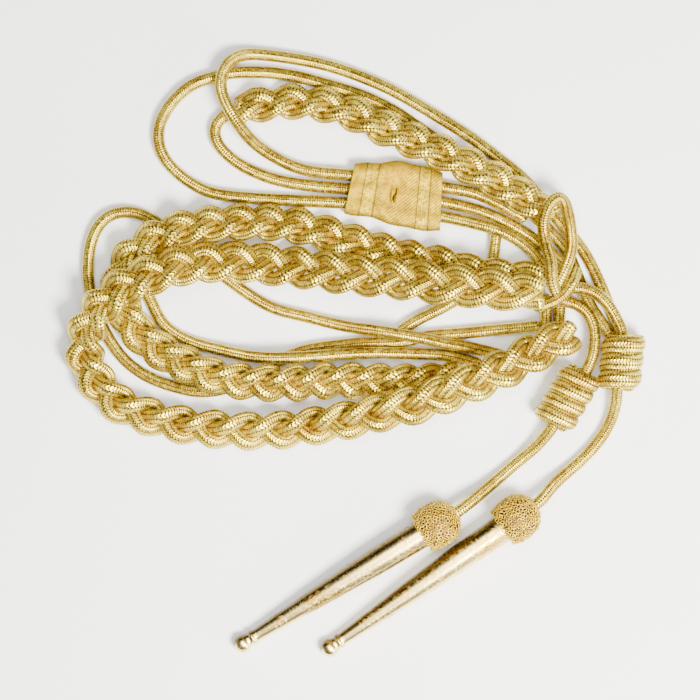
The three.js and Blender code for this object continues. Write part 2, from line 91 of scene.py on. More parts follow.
def evenSteps(path, step):  # the steps are measured on the place alone, not on what rides along with it
    along = lengthsAlong(path[:, :3])
    count = max(4, int(round(along[-1] / step)))
    wanted = np.linspace(0, along[-1], count + 1)
    return np.column_stack([np.interp(wanted, along, path[:, axis]) for axis in range(path.shape[1])])


def relaxed(path, step, spread):  # evens out the given points, with both ends kept
    reach = max(1, int(round(3 * spread / step)))
    weights = np.exp(-0.5 * (np.arange(-reach, reach + 1) * step / spread) ** 2)
    weights /= weights.sum()
    start = 2 * path[0] - path[reach:0:-1]
    end = 2 * path[-1] - path[-2:-reach - 2:-1]
    wide = np.vstack([start, path, end])
    return np.column_stack([np.convolve(wide[:, axis], weights, "valid") for axis in range(path.shape[1])])


def onTable(place, height):  # a table point in millimetres at a height in metres
    return np.array([place[0] * mm, place[1] * mm, height]) + tableShift


def cordPlace(row):  # the middle of a cord at a row of place and layer
    return onTable(row, row[2] * cordLook["layer"] + cordLook["diameter"] / 2 + cordLook["tableGap"])


def smoothRoute(points, smooth=cordLook["smooth"]):
    path = evenSteps(catmullRom(points, 24), cordLook["step"])
    return relaxed(path, cordLook["step"], smooth)


def unit(vectors):
    return vectors / np.maximum(np.linalg.norm(vectors, axis=-1, keepdims=True), 1e-12)


def levelFrames(path):  # a frame at each point, with its second axis as upright as it can be
    along = unit(np.gradient(path, axis=0))
    up = np.array([0.0, 0.0, 1.0])
    above = unit(up - along * (along @ up)[:, None])
    return np.cross(along, above), above


# Braided tubes

def braidHeight(columns, along):  # 0 in the dots between the picks, 1 on their crowns
    pair = (columns / 2) % 1.0
    crown = 1 - np.abs(2 * pair - 1) ** 4
    lean = np.abs(pair - 0.5)
    pick = np.sin(np.pi * ((along / cordLook["pick"] + lean) % 1.0)) ** 0.7
    return crown * (0.45 + 0.55 * pick)


def domeRings(ring, centre, outward, depth):  # four shrinking rings that round off a tube's end
    rings = []
    for turn in (22, 44, 63, 79):
        angle = math.radians(turn)
        rings.append(centre + outward * depth * math.sin(angle) + (ring - centre) * math.cos(angle))
    return rings


def sweepTube(name, centres, across, above, width, height, columns=cordLook["columns"]):
    # A closed tube with a braid's relief. Its width and height may change along it.
    sides = cordLook["sides"]
    count = len(centres)
    width = np.broadcast_to(np.asarray(width, float), (count,))
    height = np.broadcast_to(np.asarray(height, float), (count,))
    along = lengthsAlong(centres)
    turn = 2 * np.pi * np.arange(sides) / sides
    picks = columns * np.arange(sides) / sides
    low = cordLook["relief"] * (1 - braidHeight(picks[None, :], along[:, None]))
    sideways = np.cos(turn)[None, :] * (width[:, None] / 2 - low)
    upwards = np.sin(turn)[None, :] * (height[:, None] / 2 - low)
    body = centres[:, None, :] + across[:, None, :] * sideways[..., None]
    body = body + above[:, None, :] * upwards[..., None]
    tangent = unit(np.gradient(centres, axis=0))
    depth = cordLook["tip"] * np.minimum(width, height)
    head = domeRings(body[0], centres[0], -tangent[0], depth[0])
    tail = domeRings(body[-1], centres[-1], tangent[-1], depth[-1])
    rings = head[::-1] + list(body) + tail
    stations = np.concatenate([
        -np.linspace(1, 0.25, 4) * depth[0], along, along[-1] + np.linspace(0.25, 1, 4) * depth[-1]])
    total = len(rings)
    tips = [centres[0] - tangent[0] * depth[0], centres[-1] + tangent[-1] * depth[-1]]
    verts = np.vstack(rings + [np.array(tips)])
    ring, side = np.meshgrid(np.arange(total - 1), np.arange(sides), indexing="ij")
    after = (side + 1) % sides
    quads = np.stack([
        ring * sides + side, ring * sides + after, (ring + 1) * sides + after, (ring + 1) * sides + side,
    ], axis=-1).reshape(-1, 4)
    pitch = columns / sides
    quadU = np.stack([side, side + 1, side + 1, side], axis=-1) * pitch
    quadV = np.stack([stations[ring], stations[ring], stations[ring + 1], stations[ring + 1]], axis=-1)
    first = np.arange(sides)
    second = (first + 1) % sides
    last = (total - 1) * sides
    headFan = np.stack([second, first, np.full(sides, total * sides)], axis=-1)
    tailFan = np.stack([last + first, last + second, np.full(sides, total * sides + 1)], axis=-1)
    fanU = np.stack([first + 1, first, first + 0.5], axis=-1) * pitch
    u = np.concatenate([quadU.ravel(), fanU.ravel(), fanU[:, [1, 0, 2]].ravel()])
    v = np.concatenate([quadV.ravel(), np.full(sides * 3, stations[0]), np.full(sides * 3, stations[-1])])
    return meshPiece(name, verts, quads, np.vstack([headFan, tailFan]), u, v)


def facedTube(name, path, face, width, height, columns=cordLook["columns"]):
    # A flat strand that keeps its face to one side.
    packed = evenSteps(np.column_stack([path, face]), cordLook["step"])
    path, face = packed[:, :3], packed[:, 3:]
    along = unit(np.gradient(path, axis=0))
    face = unit(face - along * np.sum(face * along, axis=1, keepdims=True))
    return sweepTube(name, path, np.cross(along, face), face, width, height, columns)


def cordTube(name, path):  # a round cord
    across, above = levelFrames(path)
    return sweepTube(name, path, across, above, cordLook["diameter"], cordLook["diameter"])


def meshPiece(name, verts, quads, triangles=(), u=None, v=None):
    mesh = bpy.data.meshes.new(name)
    quads = np.asarray(quads, np.int32).reshape(-1, 4)
    triangles = np.asarray(triangles, np.int32).reshape(-1, 3)
    corners = np.concatenate([quads.ravel(), triangles.ravel()])
    starts = np.concatenate([np.arange(len(quads)) * 4, len(quads) * 4 + np.arange(len(triangles)) * 3])
    mesh.vertices.add(len(verts))
    mesh.vertices.foreach_set("co", np.asarray(verts, np.float32).ravel())
    mesh.loops.add(len(corners))
    mesh.loops.foreach_set("vertex_index", corners)
    mesh.polygons.add(len(starts))
    mesh.polygons.foreach_set("loop_start", starts.astype(np.int32))
    mesh.update(calc_edges=True)
    if u is not None:
        layer = mesh.uv_layers.new(name="UVMap")
        layer.data.foreach_set("uv", np.column_stack([u, v]).ravel().astype(np.float32))
    mesh.shade_smooth()
    return addObject(name, mesh)


def addObject(name, data):
    piece = bpy.data.objects.new(name, data)
    bpy.context.scene.collection.objects.link(piece)
    return piece


def selectOnly(*pieces):  # the first becomes active, and a call with none deselects all
    bpy.ops.object.select_all(action="DESELECT")
    for piece in pieces:
        piece.select_set(True)
    if pieces:
        bpy.context.view_layer.objects.active = pieces[0]


def joined(pieces, name):
    selectOnly(*pieces)
    bpy.ops.object.join()
    pieces[0].name = name
    pieces[0].data.name = name
    return pieces[0]


def dress(piece, material, node):
    if material:
        piece.data.materials.clear()
        piece.data.materials.append(material)
    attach(piece, "root")
    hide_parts(node)


# Shader wiring

class Wire:  # one socket of a shader, with arithmetic on it
    def __init__(self, tree, socket):
        self.tree = tree
        self.socket = socket

    def math(self, operation, *values):
        return addNode(self.tree, "ShaderNodeMath", {"operation": operation}, list(values))

    def __add__(self, other):
        return self.math("ADD", self, other)

    def __radd__(self, other):
        return self.math("ADD", other, self)

    def __sub__(self, other):
        return self.math("SUBTRACT", self, other)

    def __rsub__(self, other):
        return self.math("SUBTRACT", other, self)

    def __mul__(self, other):
        return self.math("MULTIPLY", self, other)

    def __rmul__(self, other):
        return self.math("MULTIPLY", other, self)

    def __pow__(self, other):
        return self.math("POWER", self, other)

    def __mod__(self, other):
        return self.math("FLOORED_MODULO", self, other)

    def floor(self):
        return self.math("FLOOR", self)

    def size(self):
        return self.math("ABSOLUTE", self)

    def sine(self):
        return self.math("SINE", self)

    def least(self, other):
        return self.math("MINIMUM", self, other)

    def most(self, other):
        return self.math("MAXIMUM", self, other)

    def ease(self, low, high):
        values = [self, low, high, 0.0, 1.0]
        settings = {"interpolation_type": "SMOOTHSTEP"}
        return addNode(self.tree, "ShaderNodeMapRange", settings, values)


def addNode(tree, kind, settings=None, values=None, output=0):
    node = tree.nodes.new(kind)
    for key, value in (settings or {}).items():
        setattr(node, key, value)
    pairs = values.items() if isinstance(values, dict) else enumerate(values or [])
    for key, value in pairs:
        if isinstance(value, Wire):
            tree.links.new(value.socket, node.inputs[key])
        else:
            node.inputs[key].default_value = value
    return Wire(tree, node.outputs[output])


def blendColour(tree, share, first, second, kind="MIX"):
    first, second = (value if isinstance(value, Wire) else (*value, 1.0) for value in (first, second))
    settings = {"data_type": "RGBA", "blend_type": kind}
    return addNode(tree, "ShaderNodeMix", settings, {0: share, 6: first, 7: second}, 2)


def newMaterial(name):
    material = bpy.data.materials.new(name)
    material.use_nodes = True
    tree = material.node_tree
    surface = tree.nodes["Principled BSDF"]
    return material, tree, surface


def feed(tree, surface, links, constants):
    for key, wire in links.items():
        tree.links.new(wire.socket, surface.inputs[key])
    for key, value in constants.items():
        surface.inputs[key].default_value = value


def pieceUv(tree):  # the two parts of the piece's own UV map
    place = addNode(tree, "ShaderNodeTexCoord", output=2)
    first = addNode(tree, "ShaderNodeSeparateXYZ", {}, [place])
    return first, Wire(tree, first.socket.node.outputs[1])


def bodyPlace(tree):  # the piece's own coordinates
    return addNode(tree, "ShaderNodeTexCoord", output=3)


def addNoise(tree, place, scale, detail, rough=0.5):
    values = {"Vector": place, "Scale": scale, "Detail": detail, "Roughness": rough}
    return addNode(tree, "ShaderNodeTexNoise", {}, values)


def addBump(tree, strength, distance, height):
    values = {"Strength": strength, "Distance": distance, "Height": height}
    return addNode(tree, "ShaderNodeBump", {}, values)


def braidMaterial(name, look):
    material, tree, surface = newMaterial(name)
    columns, along = pieceUv(tree)
    pair = (columns * 0.5) % 1.0
    lean = (pair - 0.5).size()
    place = along * (1 / cordLook["pick"]) + lean * look["lean"]
    pick = place % 1.0
    pickCrown = (pick * math.pi).sine()
    pairEdge = (pair * 2 - 1).size()
    pickEdge = (pick * 2 - 1).size()
    height = pickCrown ** 0.6 * (1.0 - pairEdge ** 3 * 0.75)
    # Each pick is a bundle of wires that lie side by side.
    wires = ((pick * 3 + pair * 0.5) * (2 * math.pi)).sine() * 0.5 + 0.5
    cell = addNode(tree, "ShaderNodeCombineXYZ", {}, [columns.floor(), place.floor(), 0.0])
    glint = addNode(tree, "ShaderNodeTexWhiteNoise", {"noise_dimensions": "2D"}, {"Vector": cell})
    wear = addNoise(tree, bodyPlace(tree), look["wearScale"], 3.0)
    # Painted shade: the dots and lines between the picks take a dark colour, standing in for the shade in
    # the braid's grooves.
    dots = (pairEdge ** 2 + pickEdge ** 2 * 0.9).ease(look["dots"][0], look["dots"][1])
    lines = (pickEdge.ease(0.62, 1.0) * look["lines"]).most(dots)
    grooveShade = blendColour(tree, wear, look["grooveShade"], look["grooveShadeWarm"])
    bright = blendColour(tree, glint ** 2, look["bright"], look["pale"])
    colour = blendColour(tree, lines, bright, grooveShade)
    shade = blendColour(tree, wear.ease(0.35, 0.7) * look["wear"], colour, look["tarnish"], "MULTIPLY")
    bump = addBump(tree, look["bump"], look["depth"], height + wires * look["wires"])
    rough = look["rough"] + (glint - 0.5) * look["roughSpread"] + lines * 0.25
    feed(tree, surface, {"Base Color": shade, "Roughness": rough, "Normal": bump},
         {"Metallic": look["metallic"], "Specular IOR Level": 0.6})
    return material


goldBraid = {
    "lean": 1.0,
    # painted shade colours for the grooves between the picks
    "grooveShade": (0.020, 0.011, 0.002),
    "grooveShadeWarm": (0.066, 0.036, 0.007),
    "bright": (0.74, 0.52, 0.062),
    "pale": (1.0, 0.86, 0.11),
    "tarnish": (0.54, 0.42, 0.22),
    "dots": [0.66, 1.16],
    "lines": 0.68,
    "wear": 0.75,
    "wearScale": 55.0,
    "wires": 0.12,
    "bump": 0.8,
    "depth": 0.4 * mm,
    "rough": 0.34,
    "roughSpread": 0.2,
    "metallic": 0.95,
}
cordGold = braidMaterial("cord_gold", goldBraid)
plaitGold = braidMaterial("plait_gold", {**goldBraid, "bright": (0.84, 0.61, 0.080), "wear": 0.6})
boundGold = braidMaterial("bound_gold", {
    **goldBraid, "bright": (0.80, 0.57, 0.070), "wear": 0.75, "dots": [0.60, 1.08], "lines": 0.75})


# Camera, light and table

cameraPlan = {
    "lens": 135.0,
    "sensor": 36.0,
    "view": 350 * mm,  # what the picture's width takes in at the cords' height
    "middle": (-0.5 * mm, 0.75 * mm),  # the picture's middle on the table
    "height": 8 * mm,
}
stageLook = {
    "world": (0.07, (0.95, 0.97, 1.0)),
    "tableSize": 12.0,
    "tableTones": ((0.83, 0.86, 0.91), (0.87, 0.90, 0.95)),
    "softboxes": [  # name, place, size, watts and colour
        ("key_light", (0.42, -0.42, 1.05), (0.4, 0.4), 70.0, (1.0, 0.955, 0.84)),
        ("top_light", (-0.05, 0.15, 1.3), (0.8, 0.8), 24.0, (1.0, 0.97, 0.90)),
        ("low_light", (0.75, -0.65, 0.35), (0.5, 0.3), 10.0, (1.0, 0.96, 0.86)),
    ],
}


def addCamera(plan):
    data = bpy.data.cameras.new("overhead_camera")
    data.lens = plan["lens"]
    data.sensor_width = plan["sensor"]
    data.clip_end = 20
    camera = addObject("overhead_camera", data)
    distance = plan["view"] * plan["lens"] / plan["sensor"]
    camera.location = Vector((*plan["middle"], plan["height"] + distance)) + Vector(tableShift)
    bpy.context.scene.camera = camera


def addSoftbox(name, place, size, watts, colour):  # aimed at the table's middle
    data = bpy.data.lights.new(name, "AREA")
    data.shape = "RECTANGLE"
    data.size, data.size_y = size
    data.energy = watts
    data.color = colour
    lamp = addObject(name, data)
    lamp.location = place
    lamp.rotation_euler = (-Vector(place)).to_track_quat("-Z", "Y").to_euler()


def addWorld(strength, colour):
    world = bpy.data.worlds.new("studio")
    world.use_nodes = True
    background = world.node_tree.nodes["Background"]
    background.inputs["Color"].default_value = (*colour, 1.0)
    background.inputs["Strength"].default_value = strength
    bpy.context.scene.world = world


def addTable(look):
    selectOnly()
    bpy.ops.mesh.primitive_plane_add(size=look["tableSize"], location=(0, 0, 0))
    table = bpy.context.object
    table.name = "table"
    material, tree, surface = newMaterial("pale_table")
    tone = blendColour(tree, addNoise(tree, bodyPlace(tree), 900.0, 2.0), *look["tableTones"])
    feed(tree, surface, {"Base Color": tone}, {"Roughness": 0.9, "Specular IOR Level": 0.1})
    table.data.materials.append(material)


addCamera(cameraPlan)
addWorld(*stageLook["world"])
for softbox in stageLook["softboxes"]:
    addSoftbox(*softbox)
addTable(stageLook)
print("stage set")


# Plain cords

shoulderOuterRows = [
    [136, 10.4, 0], [131, 18.2, 0], [127.5, 28.2, 0], [120, 44.8, 0], [114.8, 53.2, 0],
    [102, 68.2, 0], [86.5, 86.8, 0], [74.5, 96.6, 0], [61.5, 106.5, 0], [37.5, 121.5, 0],
    [18.5, 132.2, 0], [-9, 142.8, 0], [-27.5, 146.8, 0], [-42.5, 148.8, 0], [-52.5, 149.2, 0.2],
    [-60.2, 145.8, 0.8], [-64.5, 139, 1.05], [-65.2, 131.5, 1.05], [-62.5, 123.8, 1.6],
    [-57.2, 114.5, 1.85], [-48.8, 104.5, 0.8], [-38, 97.2, 0.1], [-24.2, 91.2, 0],
    [-3, 88.7, 0.2], [24, 86.2, 0.2], [46.8, 82.2, 0.2], [62.5, 79.4, 0.1],
    [74, 74, 0.2], [86, 67.4, 0.2],
]
shoulderMiddleRows = [
    [-61.6, 119.2, 0], [-68, 115, 0], [-68.5, 107.2, 0], [-64.5, 100.8, 0],
    [-57.5, 94.8, 0], [-46.8, 89.2, 0], [-34, 85.2, 0], [-21.2, 83.2, 0], [-10.5, 82.2, 0],
    [2, 81.2, 0.2], [24, 78.8, 0.2], [46.8, 74.8, 0.2], [62.5, 71.2, 0], [76.5, 65.6, 0],
    [92, 56.4, 0], [97.5, 52.4, 0.1], [102.2, 47.4, 0.3], [105.8, 43.4, 0.8],
]
shoulderInnerRows = [
    [129, 9.8, 0], [125.2, 15.2, 0], [118.5, 25.8, 0], [114.5, 35.8, 0], [111, 44.8, 0],
    [107.5, 52.2, 0], [99, 61, 0], [92.6, 69.2, 0], [74.5, 86.2, 0], [59.5, 96.2, 0],
    [44.5, 105.2, 0], [32, 113.8, 0], [21.5, 120.8, 0], [6.5, 128, 0], [-9, 133, 0],
    [-24.2, 137.2, 0], [-39.5, 139.8, 0], [-60.5, 139.8, 0], [-68.5, 137.8, 0],
    [-77.5, 135.2, 0], [-85, 130.2, 0], [-92, 122.2, 0], [-96, 114.8, 0], [-97, 108.2, 0],
    [-96, 101.8, 0], [-91.5, 93.8, 0], [-83, 86.2, 0], [-72.2, 80.2, 0], [-59.5, 77.8, 0],
    [-34, 76, 0], [-3, 74.4, 0.2], [24, 71.6, 0.2], [46.8, 67.4, 0.2],
    [62.5, 63.8, 0.8], [74, 60.4, 1.1], [82, 56.6, 0.8], [92, 49.2, 0.2], [95.4, 44.4, 0],
]
armLongRows = [
    [92.4, 12.6, 0], [74.5, 11, 0], [56, 9.2, 0], [40, 8, 0], [24.5, 4.8, 0], [10, 4.6, 0],
    [-6, 3.1, 0], [-26, 0, 0], [-38, -6.2, 0], [-50.5, -13.2, 0], [-64, -19, 0],
    [-76.8, -20.2, 0], [-89, -17.6, 0], [-102.5, -12.6, 0], [-114, -4, 0], [-120.5, 4.8, 0],
    [-127.5, 18.2, 0], [-131.4, 31.8, 0], [-132, 44.2, 0], [-130, 56.8, 0], [-124, 66.8, 0],
    [-115, 70.2, 0], [-105.8, 69.2, 0], [-97.5, 65, 0], [-85.5, 55.8, 0], [-70.5, 43.2, 0],
    [-56, 31.8, 0], [-39.5, 21.8, 0], [-23, 17.6, 0], [-3.5, 12.8, 0.2], [14, 10.2, 1],
    [26, 8.2, 1.1], [36, 6.6, 1.1], [47.5, 4, 0.6], [60.4, 1.8, 0.1], [68.5, 0, 0],
    [74.5, -1.6, 0],
]
armShortRows = [
    [-102.6, 30.5, 0], [-100, 25, 0], [-95.5, 15.3, 0], [-90.5, 10.3, 0], [-79.8, 4.7, 0],
    [-64.2, 0.6, 0.2], [-49, -2.6, 0.8], [-33.6, -3.2, 1.1], [-18.5, -2.4, 1.05],
    [-5.5, -1.4, 0.95], [9, -0.6, 0.7], [28, -1, 0.4], [47.5, -1.9, 0], [58, -4.2, 0], [63.2, -6, 0],
]
armCrossRows = [
    [72.8, 59.2, 0], [72, 52, 0], [70, 42, 0], [60, 31, 0], [44.2, 21, 0], [32.6, 15.6, 0],
    [26.4, 11.6, 0],
]


def addPlainCord(name, rows, material):
    path = smoothRoute([cordPlace(row) for row in rows])
    piece = cordTube(f"{name}_braid", path)
    dress(piece, material, name)


for cordName, cordRows in (
    ("shoulder_cord_outer", shoulderOuterRows),
    ("shoulder_cord_middle", shoulderMiddleRows),
    ("shoulder_cord_inner", shoulderInnerRows),
    ("arm_cord_long", armLongRows),
    ("arm_cord_short", armShortRows),
    ("arm_cord_cross", armCrossRows),
):
    addPlainCord(cordName, cordRows, cordGold)
print("plain cords laid")


# Plaits

frontPlait = {
    "name": "front_plait", "reach": 8.6 * mm, "period": 50 * mm, "start": 104,
    "pace": [[0, 0.98], [0.42, 1.02], [0.5, 0.87], [0.6, 0.87], [1, 1.06]],
    "rows": [
        [110, 9.2, 1.1, 5, 0.8], [97, 2.8, 1.2, 10, 0.95], [83, -4.8, 1.4, 12, 0.95],
        [68.5, -12.2, 1.9, 14, 0.95], [52.5, -18.2, 2, 16, 0.95], [36.5, -25.2, 1.9, 20, 0.92],
        [19.5, -29, 1.6, 24, 0.92], [2, -33.4, 1, 28, 0.9], [-13, -36.4, 0.1, 30, 0.9],
        [-45, -39.8, 0, 30, 0.9], [-82, -37.2, 0, 30, 0.9], [-98.5, -33.2, 0, 30, 0.9],
        [-115.5, -27.2, 0, 28, 0.9], [-126, -17, 0, 24, 0.92], [-132, -6.2, 0.1, 20, 0.95],
        [-133.6, 3.8, 0.6, 16, 0.95], [-130.5, 13.2, 1.3, 14, 0.95], [-121.5, 24.8, 2.1, 14, 0.95],
        [-110, 33.2, 2.3, 14, 0.95], [-98.5, 38.2, 2.4, 16, 0.95], [-84, 42.6, 2.1, 18, 0.95],
        [-68, 44.6, 1.3, 16, 0.95], [-54, 44.6, 1.05, 14, 1], [-40, 43.2, 0.6, 12, 1],
        [-22, 41.4, 0.85, 10, 1], [-7, 39.1, 1.4, 8, 1], [8, 37.6, 1.75, 6, 1], [24, 36, 2.1, 6, 1],
        [41, 33.8, 2.8, 6, 1], [57, 32.2, 3, 6, 1], [71, 30.8, 3, 6, 1], [86, 29.4, 3, 4, 0.9],
        [93, 29.6, 3, 0, 0.75],
    ],
}
backPlait = {
    "name": "back_plait", "reach": 7.4 * mm, "period": 44 * mm, "start": 70,
    "pace": [[0, 0.95], [1, 1.04]],
    "rows": [
        [52, -12.2, 0, 0, 0.7], [37, -14.8, 0, 6, 0.85], [20, -15.2, 0, 20, 0.95],
        [5, -14.8, 0.1, 26, 0.95], [-10, -14.4, 0.3, 26, 0.95], [-24.5, -15.5, 0.8, 26, 0.95],
        [-38, -15.8, 1.05, 26, 0.95], [-53, -15, 1.05, 26, 0.95], [-68, -12.5, 1.05, 26, 0.95],
        [-78.5, -8.2, 0.9, 26, 0.95], [-92.5, -1.6, 0.4, 22, 0.95], [-105.5, 8.4, 0.1, 16, 0.95],
        [-113.5, 19.8, 0, 8, 0.95], [-116.6, 30.8, 0, 4, 0.95], [-113, 43.8, 0.3, 10, 0.95],
        [-101.5, 54.2, 0.9, 16, 0.95], [-88.5, 60.2, 1.05, 22, 0.95], [-72, 63.2, 0.7, 26, 0.95],
        [-56, 64.6, 0.2, 26, 0.95], [-42, 64.6, 0, 26, 0.95], [-25.5, 62.8, 0, 24, 0.95],
        [-10.5, 58.2, 0, 20, 0.95], [3, 53.8, 0, 14, 0.95], [16.5, 49.8, 0.1, 8, 0.95],
        [32.5, 45.8, 0.5, 4, 0.95], [48, 42.8, 1.05, 2, 0.95], [60.5, 38.8, 1.05, 2, 0.95],
        [74, 37, 1.05, 2, 0.95], [94, 36, 0.95, 2, 0.85],
    ],
}
shoulderPlait = {
    "name": "shoulder_plait", "reach": 7.0 * mm, "period": 47 * mm, "start": 80,
    "pace": [[0, 1.07], [1, 0.93]],
    "rows": [
        [-55.4, 121.6, 0, 8, 0.85], [-44.5, 123.6, 0, 18, 0.9], [-30.5, 125, 0, 22, 0.95],
        [-15.5, 123.8, 0.1, 22, 0.95], [-0.5, 119.6, 0.3, 22, 0.95], [14.5, 112.2, 0.5, 22, 0.95],
        [28.5, 106, 0.8, 22, 0.95], [44.5, 99.2, 1.05, 22, 0.95], [59.5, 92, 1.05, 22, 0.95],
        [74.5, 83.6, 1.1, 18, 0.95], [89.5, 74, 1.1, 12, 0.9], [98.6, 68, 1.1, 6, 0.7],
    ],
}
strandLook = {
    "width": 8.0 * mm,
    "thickness": 5.6 * mm,
    "rise": 3.9 * mm,  # how far crossing strands stand above and below the plait's middle
    "pull": 0.80,  # how far the strands are drawn in from the plait's full reach
    "turn": 1.0,  # how far the plait rolls for its rows
    "smooth": 5.0 * mm,
}


def plaitDrop(reach, roll):  # how far a rolled plait reaches below its middle
    angle = np.linspace(0, 2 * np.pi, 36, endpoint=False)
    across = reach * np.cos(angle) * math.sin(roll)
    above = strandLook["rise"] * np.sin(2 * angle) * math.cos(roll)
    half = math.hypot(strandLook["thickness"] / 2 * math.cos(roll), strandLook["width"] / 2 * math.sin(roll))
    return float((-across - above).max()) + half + 2 * cordLook["tableGap"]


def plaitSpine(plait):
    rows = np.array(plait["rows"], float)
    rows[:, 3] *= strandLook["turn"]
    rows[:, 4] *= strandLook["pull"]
    points = []
    for x, y, lift, roll, spread in rows:
        drop = plaitDrop(plait["reach"] * spread, math.radians(roll))
        points.append(onTable((x, y), lift * cordLook["layer"] + drop))
    perSpan = 24
    path = catmullRom(points, perSpan)
    place = np.arange(len(path)) / perSpan
    roll = -np.radians(np.interp(place, np.arange(len(rows)), rows[:, 3]))
    reach = np.interp(place, np.arange(len(rows)), rows[:, 4]) * plait["reach"]
    step = cordLook["step"] * 0.85
    full = evenSteps(np.column_stack([path, roll, reach]), step)
    full[:, :3] = relaxed(full[:, :3], step, strandLook["smooth"])
    full[:, 3:] = relaxed(full[:, 3:], step, 2 * strandLook["smooth"])
    return full


def plaitFrames(spine):
    middle, roll, reach = spine[:, :3], spine[:, 3], spine[:, 4]
    along = unit(np.gradient(middle, axis=0))
    left = unit(np.column_stack([-along[:, 1], along[:, 0], np.zeros(len(along))]))
    up = np.cross(along, left)
    across = left * np.cos(roll)[:, None] + up * np.sin(roll)[:, None]
    above = up * np.cos(roll)[:, None] - left * np.sin(roll)[:, None]
    return middle, across, above, reach


def plaitTurns(plait, spine):
    along = lengthsAlong(spine[:, :3])
    places, paces = np.array(plait["pace"]).T
    period = plait["period"] * np.interp(along / along[-1], places, paces)
    return np.append(0, np.cumsum(np.diff(along) / ((period[1:] + period[:-1]) / 2)))


def addPlait(plait):
    spine = plaitSpine(plait)
    middle, across, above, reach = plaitFrames(spine)
    turns = plaitTurns(plait, spine)
    for strand in range(3):
        angle = 2 * np.pi * turns + math.radians(plait["start"]) + 2 * np.pi * strand / 3
        path = middle + across * (reach * np.cos(angle))[:, None]
        path = path + above * (strandLook["rise"] * np.sin(2 * angle))[:, None]
        name = f"{plait['name']}_strand_{strand + 1}"
        piece = facedTube(f"{name}_braid", path, above, strandLook["width"], strandLook["thickness"])
        dress(piece, plaitGold, name)


for plait in (frontPlait, backPlait, shoulderPlait):
    addPlait(plait)
print("plaits laid")

# Pendants: knot, cord, cap and tag

pendantCordOne = {
    "name": "pendant_cord_1", "knotName": "knot_1",
    "head": [
        [106, 25.4, 1], [112.5, 24, 1], [117.8, 20.2, 1], [121, 14.2, 1], [121.8, 7.2, 1],
        [120.9, -1.8, 1],
    ],
    "top": [116.8, -10.8], "bottom": [101.4, -36.6],
    "tail": [[92.5, -47.8, 0.3], [83.5, -55.4, 0], [69.5, -67.4, 0.3]],
    "rim": [35.8, -90.6], "ball": [-54, -146.2], "fittings": ("cap_1", "tag_1"),
    "turns": 4, "bandWidth": 8.2 * mm, "bandColumns": 16, "lead": 0.7, "aside": 1.1 * mm, "seed": 3,
}
pendantCordTwo = {
    "name": "pendant_cord_2", "knotName": "knot_2",
    "head": [
        [109.5, 32, 1], [118, 31.4, 1], [125, 27.2, 1.05], [130.4, 20.8, 1.05], [133.2, 14.2, 1],
    ],
    "top": [135.6, 8.2], "bottom": [132.8, -18.2],
    "tail": [
        [132.8, -25, 0.6], [129.6, -36.4, 0], [122.4, -47.4, 0], [113.6, -56.2, 0],
        [102, -66.2, 0.3],
    ],
    "rim": [76, -87.8], "ball": [-10.8, -148.6], "fittings": ("cap_2", "tag_2"),
    "turns": 3, "bandWidth": 9.6 * mm, "bandColumns": 20, "lead": 0.35, "aside": -0.9 * mm, "seed": 8,
}
knotLook = {
    "width": 22.0 * mm,
    "height": 19.4 * mm,
    "bandHeight": 5.6 * mm,
    "overlap": 0.25,  # turns by which the wound cord runs on under the first and the last band
    "tuckTurns": 0.3,
    "tuckDepth": 0.55,
    "coreWidth": 12.0 * mm,
    "coreHeight": 9.4 * mm,
    "coreInset": 2.5 * mm,
}
tagLook = {
    "length": 106 * mm,
    "mouth": 7.0 * mm,
    "ball": 4.5 * mm,
    "wall": 0.8 * mm,
    "hollowFoot": 0.18,
    "sides": 72,
    # Shares of the length and of the mouth's radius.
    "neck": [(0.042, 0.43), (0.047, 0.47), (0.052, 0.545), (0.056, 0.56), (0.060, 0.545),
             (0.066, 0.475), (0.072, 0.46)],
    "taper": [(0.09, 0.475), (0.13, 0.51), (0.19, 0.56), (0.25, 0.61), (0.33, 0.68), (0.42, 0.755),
              (0.5, 0.82), (0.6, 0.882), (0.68, 0.927), (0.75, 0.962), (0.84, 0.985), (0.92, 0.996),
              (1, 1)],
    "gilt": (0.92, 0.72, 0.28),
    "warmGilt": (0.82, 0.54, 0.12),
    "etched": (0.30, 0.20, 0.07),
    # painted shade: the colour of the dark band on the side away from the light
    "sidePaintedShade": (0.030, 0.019, 0.007),
}
capLook = {
    "radius": 11.3 * mm,
    "rest": 0.45 * mm,
    "length": 19 * mm,
    "seat": 6 * mm,
    "wall": 1.3 * mm,
    "loopRadius": 0.84 * mm,
    "wireRadius": 0.22 * mm,
    "loopPitch": 2.0 * mm,
    "rowPitch": 0.87,  # as a share of the loops' pitch
    "probe": 0.4 * mm,  # how far on each side the dome's slope is read
    "tilt": 0.55,
    "sides": 48,
    # Shares of the length and of the radius, from the rim up.
    "dome": [(0, 0.88), (0.03, 0.905), (0.08, 0.935), (0.15, 0.965), (0.23, 0.985), (0.31, 0.997),
             (0.4, 1), (0.48, 0.997), (0.56, 0.985), (0.64, 0.955), (0.72, 0.905), (0.79, 0.84),
             (0.85, 0.755), (0.9, 0.66), (0.94, 0.56), (0.97, 0.47), (1, 0.38)],
}


def pendantPoints(pendant):
    knotRadius = knotLook["height"] / 2
    half = cordLook["diameter"] / 2
    top = onTable(pendant["top"], knotRadius)
    bottom = onTable(pendant["bottom"], knotRadius)
    down = unit(bottom - top)
    rim = onTable(pendant["rim"], capLook["radius"] - capLook["rest"])
    axis = unit(rim - onTable(pendant["ball"], tagLook["ball"]))
    points = [cordPlace(row) for row in pendant["head"]]
    points += [top - down * half, top + down * half, bottom - down * half, bottom + down * half / 2]
    points += [cordPlace(row) for row in pendant["tail"]]
    points += [rim + axis * (capLook["length"] + half), rim + axis * (capLook["length"] - half)]
    points.append(rim + axis * (capLook["seat"] - 8 * mm))
    return np.array(points), top, bottom, rim, axis


